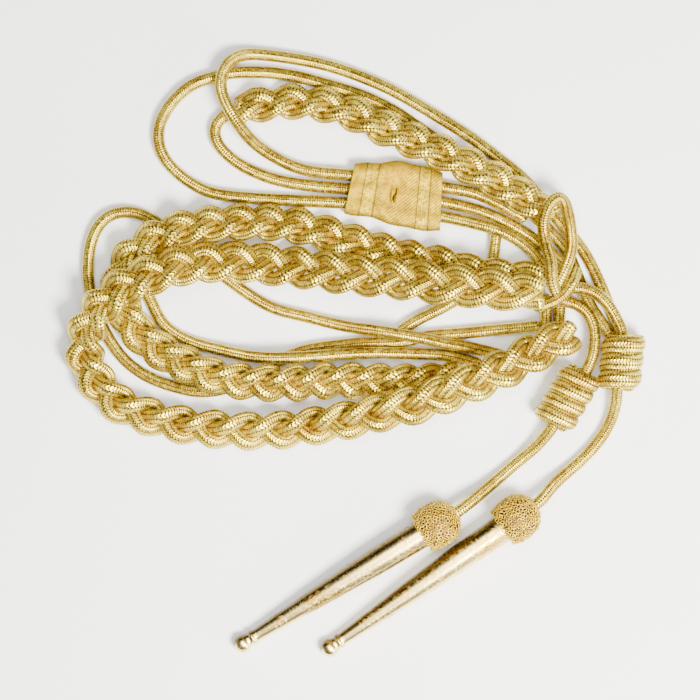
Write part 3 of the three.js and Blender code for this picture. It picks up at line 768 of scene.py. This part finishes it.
def addKnot(pendant, top, bottom):
    # One cord wound round the pendant cord in flat bands, with both its ends tucked in.
    look = knotLook
    down = unit(bottom - top)
    right = unit(np.cross(down, [0, 0, 1.0]))
    up = np.cross(right, down)
    length = float(np.linalg.norm(bottom - top))
    turns = pendant["turns"]
    past = look["overlap"]
    pitch = (length - pendant["bandWidth"]) / (turns - 1)
    angle = np.linspace(-past, turns + past, 1600)  # turns from the underside
    wrapped = angle - (1 - pendant["lead"]) * np.sin(4 * np.pi * angle) / (4 * np.pi)
    place = pendant["bandWidth"] / 2 + np.clip(wrapped - 0.5, -0.15, turns - 0.85) * pitch
    phase = -2 * np.pi * angle - np.pi / 2
    tuck = np.clip(np.minimum(angle + past, turns + past - angle) / look["tuckTurns"], 0, 1)
    inset = (1 - tuck ** 0.6) * look["bandHeight"] * look["tuckDepth"] + look["bandHeight"] / 2
    wide = (look["width"] / 2 - inset) * np.cos(phase) + pendant["aside"]
    high = (look["height"] / 2 - inset) * np.sin(phase)
    path = top + down * place[:, None] + right * wide[:, None] + up * high[:, None]
    ring = right * np.cos(phase)[:, None] + up * np.sin(phase)[:, None]
    band = facedTube("band", path, ring, pendant["bandWidth"], look["bandHeight"], pendant["bandColumns"])
    ends = np.linspace(look["coreInset"], length - look["coreInset"], 40)
    core = top + down * ends[:, None] + right * pendant["aside"]
    filling = sweepTube("core", core, np.tile(right, (40, 1)), np.tile(up, (40, 1)),
                        look["coreWidth"], look["coreHeight"])
    piece = joined([band, filling], f"{pendant['knotName']}_bands")
    dress(piece, boundGold, pendant["knotName"])


def extrudeRings(rings):  # draws the selected ring on through (radius, height) pairs
    for (radius, height), (nextRadius, nextHeight) in zip(rings, rings[1:]):
        bpy.ops.mesh.extrude_edges_move(TRANSFORM_OT_translate={"value": (0, 0, nextHeight - height)})
        ratio = nextRadius / radius
        bpy.ops.transform.resize(value=(ratio, ratio, 1), center_override=(0, 0, nextHeight))


def faceOutwards():  # turns all faces of the skin in edit mode outwards, and leaves edit mode
    bpy.ops.mesh.select_all(action="SELECT")
    bpy.ops.mesh.normals_make_consistent(inside=False)
    bpy.ops.object.mode_set(mode="OBJECT")


def thicken(piece, thickness):  # gives the active skin its wall, inwards
    wall = piece.modifiers.new("wall", "SOLIDIFY")
    wall.thickness = thickness
    wall.offset = -1
    bpy.ops.object.modifier_apply(modifier=wall.name)
    piece.data.shade_smooth()


def turnedPiece(name, rings, sides):  # closed at both ends
    selectOnly()
    radius, height = rings[0]
    bpy.ops.mesh.primitive_circle_add(
        vertices=sides, radius=radius, fill_type="TRIFAN", location=(0, 0, height))
    piece = bpy.context.object
    piece.name = name
    bpy.ops.object.transform_apply(location=True, rotation=False, scale=False)
    bpy.ops.object.mode_set(mode="EDIT")
    bpy.ops.mesh.select_mode(type="VERT")
    bpy.ops.mesh.select_all(action="SELECT")
    bpy.ops.mesh.region_to_loop()
    extrudeRings(rings)
    bpy.ops.mesh.merge(type="CENTER")
    bpy.ops.mesh.select_all(action="SELECT")
    bpy.ops.mesh.remove_doubles(threshold=1e-7)
    faceOutwards()
    return piece


def aimed(piece, foot, axis):  # stands a turned piece on its foot, with its place kept in its mesh
    turn = Vector((0, 0, 1)).rotation_difference(Vector(axis)).to_matrix().to_4x4()
    piece.data.transform(Matrix.Translation(Vector(foot)) @ turn)
    piece.data.update()


def markSides(piece, foot, axis):  # a UV of each corner's side of the axis, -1 to 1, and its place along it
    right = unit(np.cross(axis, [0, 0, 1.0]))
    places = np.array([vertex.co[:] for vertex in piece.data.vertices]) - foot
    along = places @ axis
    side = unit(places - along[:, None] * axis) @ right
    layer = piece.data.uv_layers.active or piece.data.uv_layers.new(name="UVMap")
    corners = np.array([corner.vertex_index for corner in piece.data.loops])
    layer.data.foreach_set("uv", np.column_stack([side, along])[corners].ravel().astype(np.float32))


def addTag(node, rim, axis):
    look = tagLook
    angles = [math.radians(turn) for turn in range(-84, 41, 6)]
    rings = [(look["ball"] * math.cos(angle), look["ball"] * math.sin(angle)) for angle in angles]
    rings += [(share * look["mouth"], place * look["length"])
              for place, share in look["neck"] + look["taper"]]
    mouth = look["length"] + capLook["seat"]
    rings += [(look["mouth"], mouth), (look["mouth"] - look["wall"], mouth)]
    rings += [(share * look["mouth"] - look["wall"], place * look["length"])
              for place, share in reversed(look["taper"]) if place > look["hollowFoot"]]
    rings.append((0.4 * mm, look["hollowFoot"] * look["length"]))
    tag = turnedPiece(f"{node}_shell", rings, look["sides"])
    tag.data.shade_smooth()
    foot = rim - axis * look["length"]
    aimed(tag, foot, axis)
    markSides(tag, foot, axis)
    dress(tag, tagMetal, node)


def addCap(node, rim, axis, seed):
    look = capLook
    radii = np.array([share * look["radius"] for place, share in look["dome"]]) - 2 * look["wireRadius"]
    heights = np.array([place * look["length"] for place, share in look["dome"]])
    selectOnly()
    bpy.ops.mesh.primitive_circle_add(vertices=look["sides"], radius=radii[0], fill_type="NOTHING")
    shell = bpy.context.object
    bpy.ops.object.mode_set(mode="EDIT")
    bpy.ops.mesh.select_all(action="SELECT")
    extrudeRings(list(zip(radii, heights)))
    faceOutwards()
    thicken(shell, look["wall"])
    # the shell under the loops carries the painted shade of the pits
    shell.data.materials.append(purlShadeGround)
    loops = purlLoops(evenSteps(np.column_stack([radii, heights]), 0.1 * mm), seed)
    loops.data.materials.append(purlGold)
    cap = joined([shell, loops], f"{node}_purl")
    aimed(cap, rim, axis)
    for vertex in cap.data.vertices:  # the loops are pressed flat where the cap lies on the table
        vertex.co.z = max(vertex.co.z, cordLook["tableGap"] / 3)
    dress(cap, None, node)


def outlineAt(outline, reach, place):  # radius and height at a length along the dome's outline
    return np.array([np.interp(place, reach, outline[:, axis]) for axis in (0, 1)])


def purlLoops(outline, seed):  # one loop of purl wire, repeated in rows over the dome
    look = capLook
    selectOnly()
    bpy.ops.mesh.primitive_torus_add(major_segments=10, minor_segments=5,
                                     major_radius=look["loopRadius"], minor_radius=look["wireRadius"])
    loop = bpy.context.object
    ring = np.array([vertex.co[:] for vertex in loop.data.vertices])
    faces = np.array([face.vertices[:] for face in loop.data.polygons])
    bpy.data.objects.remove(loop)
    spread = np.random.default_rng(seed)
    reach = lengthsAlong(outline)
    verts, quads = [], []
    rows = int(reach[-1] / (look["loopPitch"] * look["rowPitch"]))
    for row in range(rows + 1):
        place = min(reach[-1], row * reach[-1] / rows)
        radius, height = outlineAt(outline, reach, place)
        above = outlineAt(outline, reach, place + look["probe"])
        ahead, rise = above - outlineAt(outline, reach, place - look["probe"])
        slope = math.atan2(-ahead, max(rise, 1e-9))
        count = max(8, int(round(2 * math.pi * radius / look["loopPitch"])))
        for item in range(count):
            angle = 2 * math.pi * (item + 0.5 * (row % 2) + spread.uniform(-0.14, 0.14)) / count
            level = math.cos(slope)
            outward = Vector((math.cos(angle) * level, math.sin(angle) * level, math.sin(slope)))
            lean = Vector(spread.uniform(-look["tilt"], look["tilt"], 3).tolist())
            turn = Vector((0, 0, 1)).rotation_difference((outward + lean).normalized()).to_matrix()
            size = spread.uniform(0.88, 1.12)
            centre = np.array([radius * math.cos(angle), radius * math.sin(angle), height])
            centre = centre + np.array(outward) * look["wireRadius"] * spread.uniform(0.8, 2.2)
            verts.append(ring @ np.array(turn).T * size + centre)
            quads.append(faces + len(ring) * len(quads))
    return meshPiece("loops", np.vstack(verts), np.vstack(quads))


def purlMaterial(name, dull, warm, bright):
    material, tree, surface = newMaterial(name)
    body = bodyPlace(tree)
    wear = addNoise(tree, body, 260.0, 3.0)
    fine = addNoise(tree, body, 1900.0, 2.0)
    base = blendColour(tree, wear.ease(0.35, 0.65), dull, warm)
    glint = blendColour(tree, fine.ease(0.45, 0.7), base, bright)
    bump = addBump(tree, 0.5, 0.15 * mm, fine)
    feed(tree, surface, {"Base Color": glint, "Roughness": 0.36 + fine * 0.2, "Normal": bump},
         {"Metallic": 0.75})
    return material


def tagMaterial():
    look = tagLook
    material, tree, surface = newMaterial("tag_metal")
    side = pieceUv(tree)[0]
    body = bodyPlace(tree)
    mottle = addNoise(tree, body, 620.0, 4.0, 0.65)
    patch = addNoise(tree, body, 75.0, 2.0)
    etched = mottle.ease(0.48, 0.60) * patch.ease(0.40, 0.58)
    base = blendColour(tree, patch.ease(0.46, 0.66), look["gilt"], look["warmGilt"])
    colour = blendColour(tree, etched * 0.4, base, look["etched"])
    # Painted shade: the side away from the light is darkened in its colour, a dark band standing in for
    # shade and a dark reflection.
    sidePaintedShade = 1.0 - (side + (mottle - 0.5) * 0.4).ease(-0.62, -0.4)
    colour = blendColour(tree, sidePaintedShade * 0.9, colour, look["sidePaintedShade"])
    bump = addBump(tree, 0.4, 0.14 * mm, mottle)
    feed(tree, surface, {"Base Color": colour, "Roughness": 0.26 + etched * 0.25, "Normal": bump},
         {"Metallic": 1.0})
    return material


purlGold = purlMaterial("purl_gold", (0.52, 0.30, 0.012), (0.80, 0.52, 0.025), (1.0, 0.80, 0.10))
# Painted shade: the cap's shell under the loops is near black, standing in for the shade in the pits between
# the loops.
purlShadeGround = purlMaterial("purl_painted_shade_ground", (0.016, 0.007, 0.001), (0.04, 0.018, 0.003), (0.10, 0.05, 0.01))
tagMetal = tagMaterial()
for pendant in (pendantCordOne, pendantCordTwo):
    points, top, bottom, rim, axis = pendantPoints(pendant)
    path = smoothRoute(points)
    cord = cordTube(f"{pendant['name']}_braid", path)
    dress(cord, cordGold, pendant["name"])
    addKnot(pendant, top, bottom)
    cap, tag = pendant["fittings"]
    addTag(tag, rim, axis)
    addCap(cap, rim, axis, pendant["seed"])
print("pendants hung")


# Junction

junctionLook = {
    "smooth": 2.0 * mm,
    "loop": [
        [101, 30.4, 2.6], [99.6, 33.8, 2.85], [98.8, 44.6, 2.75], [96.2, 55.6, 2.3],
        [95, 63.6, 2.8], [97.2, 71.2, 3], [101.4, 76.2, 2.75], [105.8, 74.8, 1.9],
        [108.4, 68.4, 1.2], [109.8, 60.4, 1.1], [109.8, 51.6, 1.5], [107, 42.6, 2.1],
        [104.6, 37.4, 2.2], [102.8, 34, 2.0],
    ],
    "tail": [
        [92.4, 22.4, 2.6], [99, 24.2, 2.3], [105.5, 28.2, 2.15], [109.6, 34, 2.05], [112.2, 40, 1.2],
    ],
    "firstLink": [[98.2, 26, 0], [98, 20, 0], [97.6, 14, 0]],
    "secondLink": [[104.8, 24.6, 0], [104.6, 19, 0], [104.2, 13, 0]],
}
for node, route in (
    ("junction_loop", "loop"), ("junction_tail", "tail"),
    ("junction_link_1", "firstLink"), ("junction_link_2", "secondLink"),
):
    points = [cordPlace(row) for row in junctionLook[route]]
    piece = cordTube(f"{node}_braid", smoothRoute(points, junctionLook["smooth"]))
    dress(piece, boundGold, node)
print("junction bound")


# Woven tab

tabLook = {
    "tops": [[2, 94.2], [14, 94.8], [26, 95.2], [36, 92.8], [46, 89.8]],
    "bottoms": [[-3.5, 69.2], [10.5, 66.8], [25, 62.4], [36.5, 60.8], [44.5, 60.2]],
    "height": 9.2 * mm,
    "wall": 1.1 * mm,
    "stripes": [0.148, 0.285, 0.74, 0.868],  # the border lines, as shares of the tab's width
    "threads": 45,  # across the tab's width
    "slope": 29,  # threads that a line of the twill crosses on its way down the tab
    "twillPitch": 1.6,  # in threads
    "ribPitch": 1.1,
    "twillDark": (0.32, 0.205, 0.001),
    "twillLight": (0.51, 0.355, 0.002),
    # painted shade round the slit
    "warm": (0.46, 0.27, 0.0005),
    "satinLight": (0.58, 0.43, 0.008),
    "satinDark": (0.33, 0.22, 0.001),
    "cloud": (0.30, 0.17, 0.001),
    "grain": (0.22, 0.12, 0.001),
    "border": (0.10, 0.06, 0.004),
    "slit": [21.8, 78.4],
    "slitLength": 7.2 * mm,
    "slitOpening": 0.30 * mm,
    "slitBend": 0.55 * mm,  # how far the slit's line sways from straight
    "slitStep": 0.25 * mm,  # how far one lip lies below the other
    "slitReach": 5,  # columns drawn aside with the slit
    "dip": 0.55 * mm,  # how far the lace sinks at the slit
    "dipReach": 5.5 * mm,
    "lipHeight": 0.7 * mm,
    "lipPlace": 1.1 * mm,
    "lipWidth": 0.7 * mm,
    "lipReach": 4.2 * mm,
    "ripple": 0.2 * mm,
    "edgeWave": 0.35 * mm,
    "hump": 0.4 * mm,
    "steps": 110,
    "rows": 176,
}


def bandAt(place, middle, inner, outer):  # 1 near the middle, 0 beyond the outer edge
    return 1.0 - (place - middle).size().ease(inner, outer)


def tabMaterial():
    look = tabLook
    material, tree, surface = newMaterial("woven_lace")
    share, down = pieceUv(tree)
    body = bodyPlace(tree)
    nearest = (share - look["stripes"][0]).size()
    for line in look["stripes"][1:]:
        nearest = nearest.least((share - line).size())
    border = 1.0 - nearest.ease(0.004, 0.011)
    satin = bandAt(share, 0.2165, 0.066, 0.07).most(bandAt(share, 0.804, 0.062, 0.066))
    threads = ((share * look["threads"] + down * look["slope"]) * (2 * math.pi / look["twillPitch"])).sine()
    threads = threads * 0.5 + 0.5
    ribs = ((share * look["threads"]) * (2 * math.pi / look["ribPitch"])).sine() * 0.5 + 0.5
    weave = threads * (1.0 - satin) + ribs * satin
    grain = addNoise(tree, body, 640.0, 3.0)
    cloud = addNoise(tree, body, 120.0, 2.0)
    # Painted shade: a darker orange patch round the slit, standing in for the shade where the lace puckers
    # and dips.
    warm = bandAt(share, 0.46, 0.02, 0.16) * bandAt(down, 0.38, 0.12, 0.42)
    twill = blendColour(tree, threads.ease(0.2, 0.8), look["twillDark"], look["twillLight"])
    twill = blendColour(tree, warm * 0.75, twill, look["warm"])
    shine = ribs * 0.3 + grain.ease(0.35, 0.65) * 0.5
    silk = blendColour(tree, shine, look["satinLight"], look["satinDark"])
    colour = blendColour(tree, satin, twill, silk)
    colour = blendColour(tree, cloud.ease(0.4, 0.65) * 0.3, colour, look["cloud"])
    colour = blendColour(tree, grain.ease(0.47, 0.6) * 0.5, colour, look["grain"])
    colour = blendColour(tree, border * 0.8, colour, look["border"])
    height = weave * (1.0 - border)
    bump = addBump(tree, 0.6, 0.25 * mm, height * 0.5 + grain)
    feed(tree, surface, {"Base Color": colour, "Roughness": 0.52 + grain * 0.2, "Normal": bump},
         {"Metallic": 0.85})
    return material


def tabEdge(rows, shares):  # one edge of the tab, in metres, at shares of its width
    line = evenSteps(catmullRom(np.array(rows, float), 24), 0.5)
    places = np.linspace(0, 1, len(line))
    return np.column_stack([np.interp(shares, places, line[:, axis]) for axis in (0, 1)]) * mm


def tabSection(depth):  # round the sleeve: the upper face, the bottom edge, the under face, the top edge
    turns = np.linspace(0, 2 * np.pi, 4000, endpoint=False)
    oval = np.column_stack([
        np.sign(np.cos(turns)) * np.abs(np.cos(turns)) ** 0.36,
        np.sign(np.sin(turns)) * np.abs(np.sin(turns)) ** 0.42,
    ])
    scaled = np.column_stack([oval[:, 0] * depth / 2, oval[:, 1] * tabLook["height"] / 2])
    roundLength = lengthsAlong(np.vstack([scaled, scaled[:1]]))
    wanted = np.linspace(0, roundLength[-1], tabLook["rows"], endpoint=False)
    closed = np.vstack([oval, oval[:1]])
    return [np.interp(wanted, roundLength, closed[:, axis]) for axis in (0, 1)]


def puckerTab(verts, shares, sideways, upwards, crossShare):
    # The lace puckers round the slit, rises in two lips beside it and waves a little elsewhere.
    look = tabLook
    away = verts[..., :2] - np.array(look["slit"]) * mm
    distance = np.hypot(away[..., 0], away[..., 1])
    upper = (upwards > 0.2)[None, :]
    verts[..., 2] -= np.where(upper, look["dip"] * np.exp(-(distance / look["dipReach"]) ** 2), 0)
    beside = np.exp(-((np.abs(away[..., 0]) - look["lipPlace"]) / look["lipWidth"]) ** 2)
    lip = beside * np.exp(-(away[..., 1] / look["lipReach"]) ** 4)
    verts[..., 2] += np.where(upper, look["lipHeight"] * lip, 0)
    ripple = np.sin(shares * 37 + 1.3)[:, None] * np.cos(crossShare * 9)[None, :] * look["ripple"]
    verts[..., 2] += np.where(upper, ripple, 0)
    edge = np.abs(sideways)[None, :] ** 6 * np.sign(sideways)[None, :]
    verts[..., 1] += edge * look["edgeWave"] * np.sin(shares * 17)[:, None]
    verts[..., 2] = np.maximum(verts[..., 2], look["wall"] * 0.02)


def splitSlit(verts, upwards, crossShare):
    # The slit is split along one column of the upper face and drawn apart.
    look = tabLook
    rows = look["rows"]
    slit = np.array(look["slit"]) * mm
    points = (verts + tableShift).reshape(-1, 3)
    middleRow = np.argmin(np.abs(crossShare - 0.5))
    slitColumn = int(np.argmin(np.abs(verts[:, middleRow, 0] - slit[0])))
    share = (verts[slitColumn, :, 1] - slit[1]) / (look["slitLength"] / 2)
    inside = [row for row in range(rows) if upwards[row] > 0.5 and abs(share[row]) < 1]
    twins = {row: len(points) + index for index, row in enumerate(inside)}
    extra = points[[slitColumn * rows + row for row in inside]].copy()
    share = share[inside]
    opening = look["slitOpening"] * np.sqrt(np.clip(1 - share ** 2, 0, 1))
    bend = look["slitBend"] * np.sin(share * math.pi)
    reach = look["slitReach"]
    for index, row in enumerate(inside):
        for offset in [*range(-reach, 0), *range(1, reach + 1)]:
            fade = 1 - abs(offset) / (reach + 1)
            push = (bend[index] + math.copysign(opening[index], offset)) * fade
            points[(slitColumn + offset) * rows + row, 0] += push
        points[slitColumn * rows + row, 0] += bend[index] - opening[index]
        extra[index, 0] += bend[index] + opening[index]
        extra[index, 2] -= look["slitStep"]
    return np.vstack([points, extra]), slitColumn, twins


def addTab():
    look = tabLook
    columns, rows = look["steps"], look["rows"]
    shares = np.linspace(0, 1, columns + 1)
    top = tabEdge(look["tops"], shares)
    bottom = tabEdge(look["bottoms"], shares)
    span = bottom - top
    half = look["height"] / 2
    sideways, upwards = tabSection(np.linalg.norm(span, axis=1).mean())
    crossShare = (1 - sideways) / 2
    verts = np.zeros((columns + 1, rows, 3))
    verts[..., :2] = top[:, None, :] + span[:, None, :] * crossShare[None, :, None]
    humps = 0.5 - 0.5 * np.cos(2 * np.pi * 3 * crossShare)
    lift = half + half * upwards
    lift = lift + np.where(upwards > 0, (humps - 1) * look["hump"] * np.clip(upwards * 1.4, 0, 1), 0)
    verts[..., 2] = lift[None, :]
    puckerTab(verts, shares, sideways, upwards, crossShare)
    points, slitColumn, twins = splitSlit(verts, upwards, crossShare)
    faces, u, v = [], [], []
    for column in range(columns):
        for row in range(rows):
            after = (row + 1) % rows
            face = []
            for c, r in ((column + 1, row), (column + 1, after), (column, after), (column, row)):
                atSlit = c == column == slitColumn and r in twins
                face.append(twins[r] if atSlit else c * rows + r)
                u.append(shares[c])
                v.append(crossShare[r])
            faces.append(face)
    tab = meshPiece("woven_tab_lace", points, faces, (), np.array(u), np.array(v))
    selectOnly(tab)
    bpy.ops.object.mode_set(mode="EDIT")
    faceOutwards()
    thicken(tab, look["wall"])
    dress(tab, tabMaterial(), "woven_tab")


addTab()
print("tab woven")
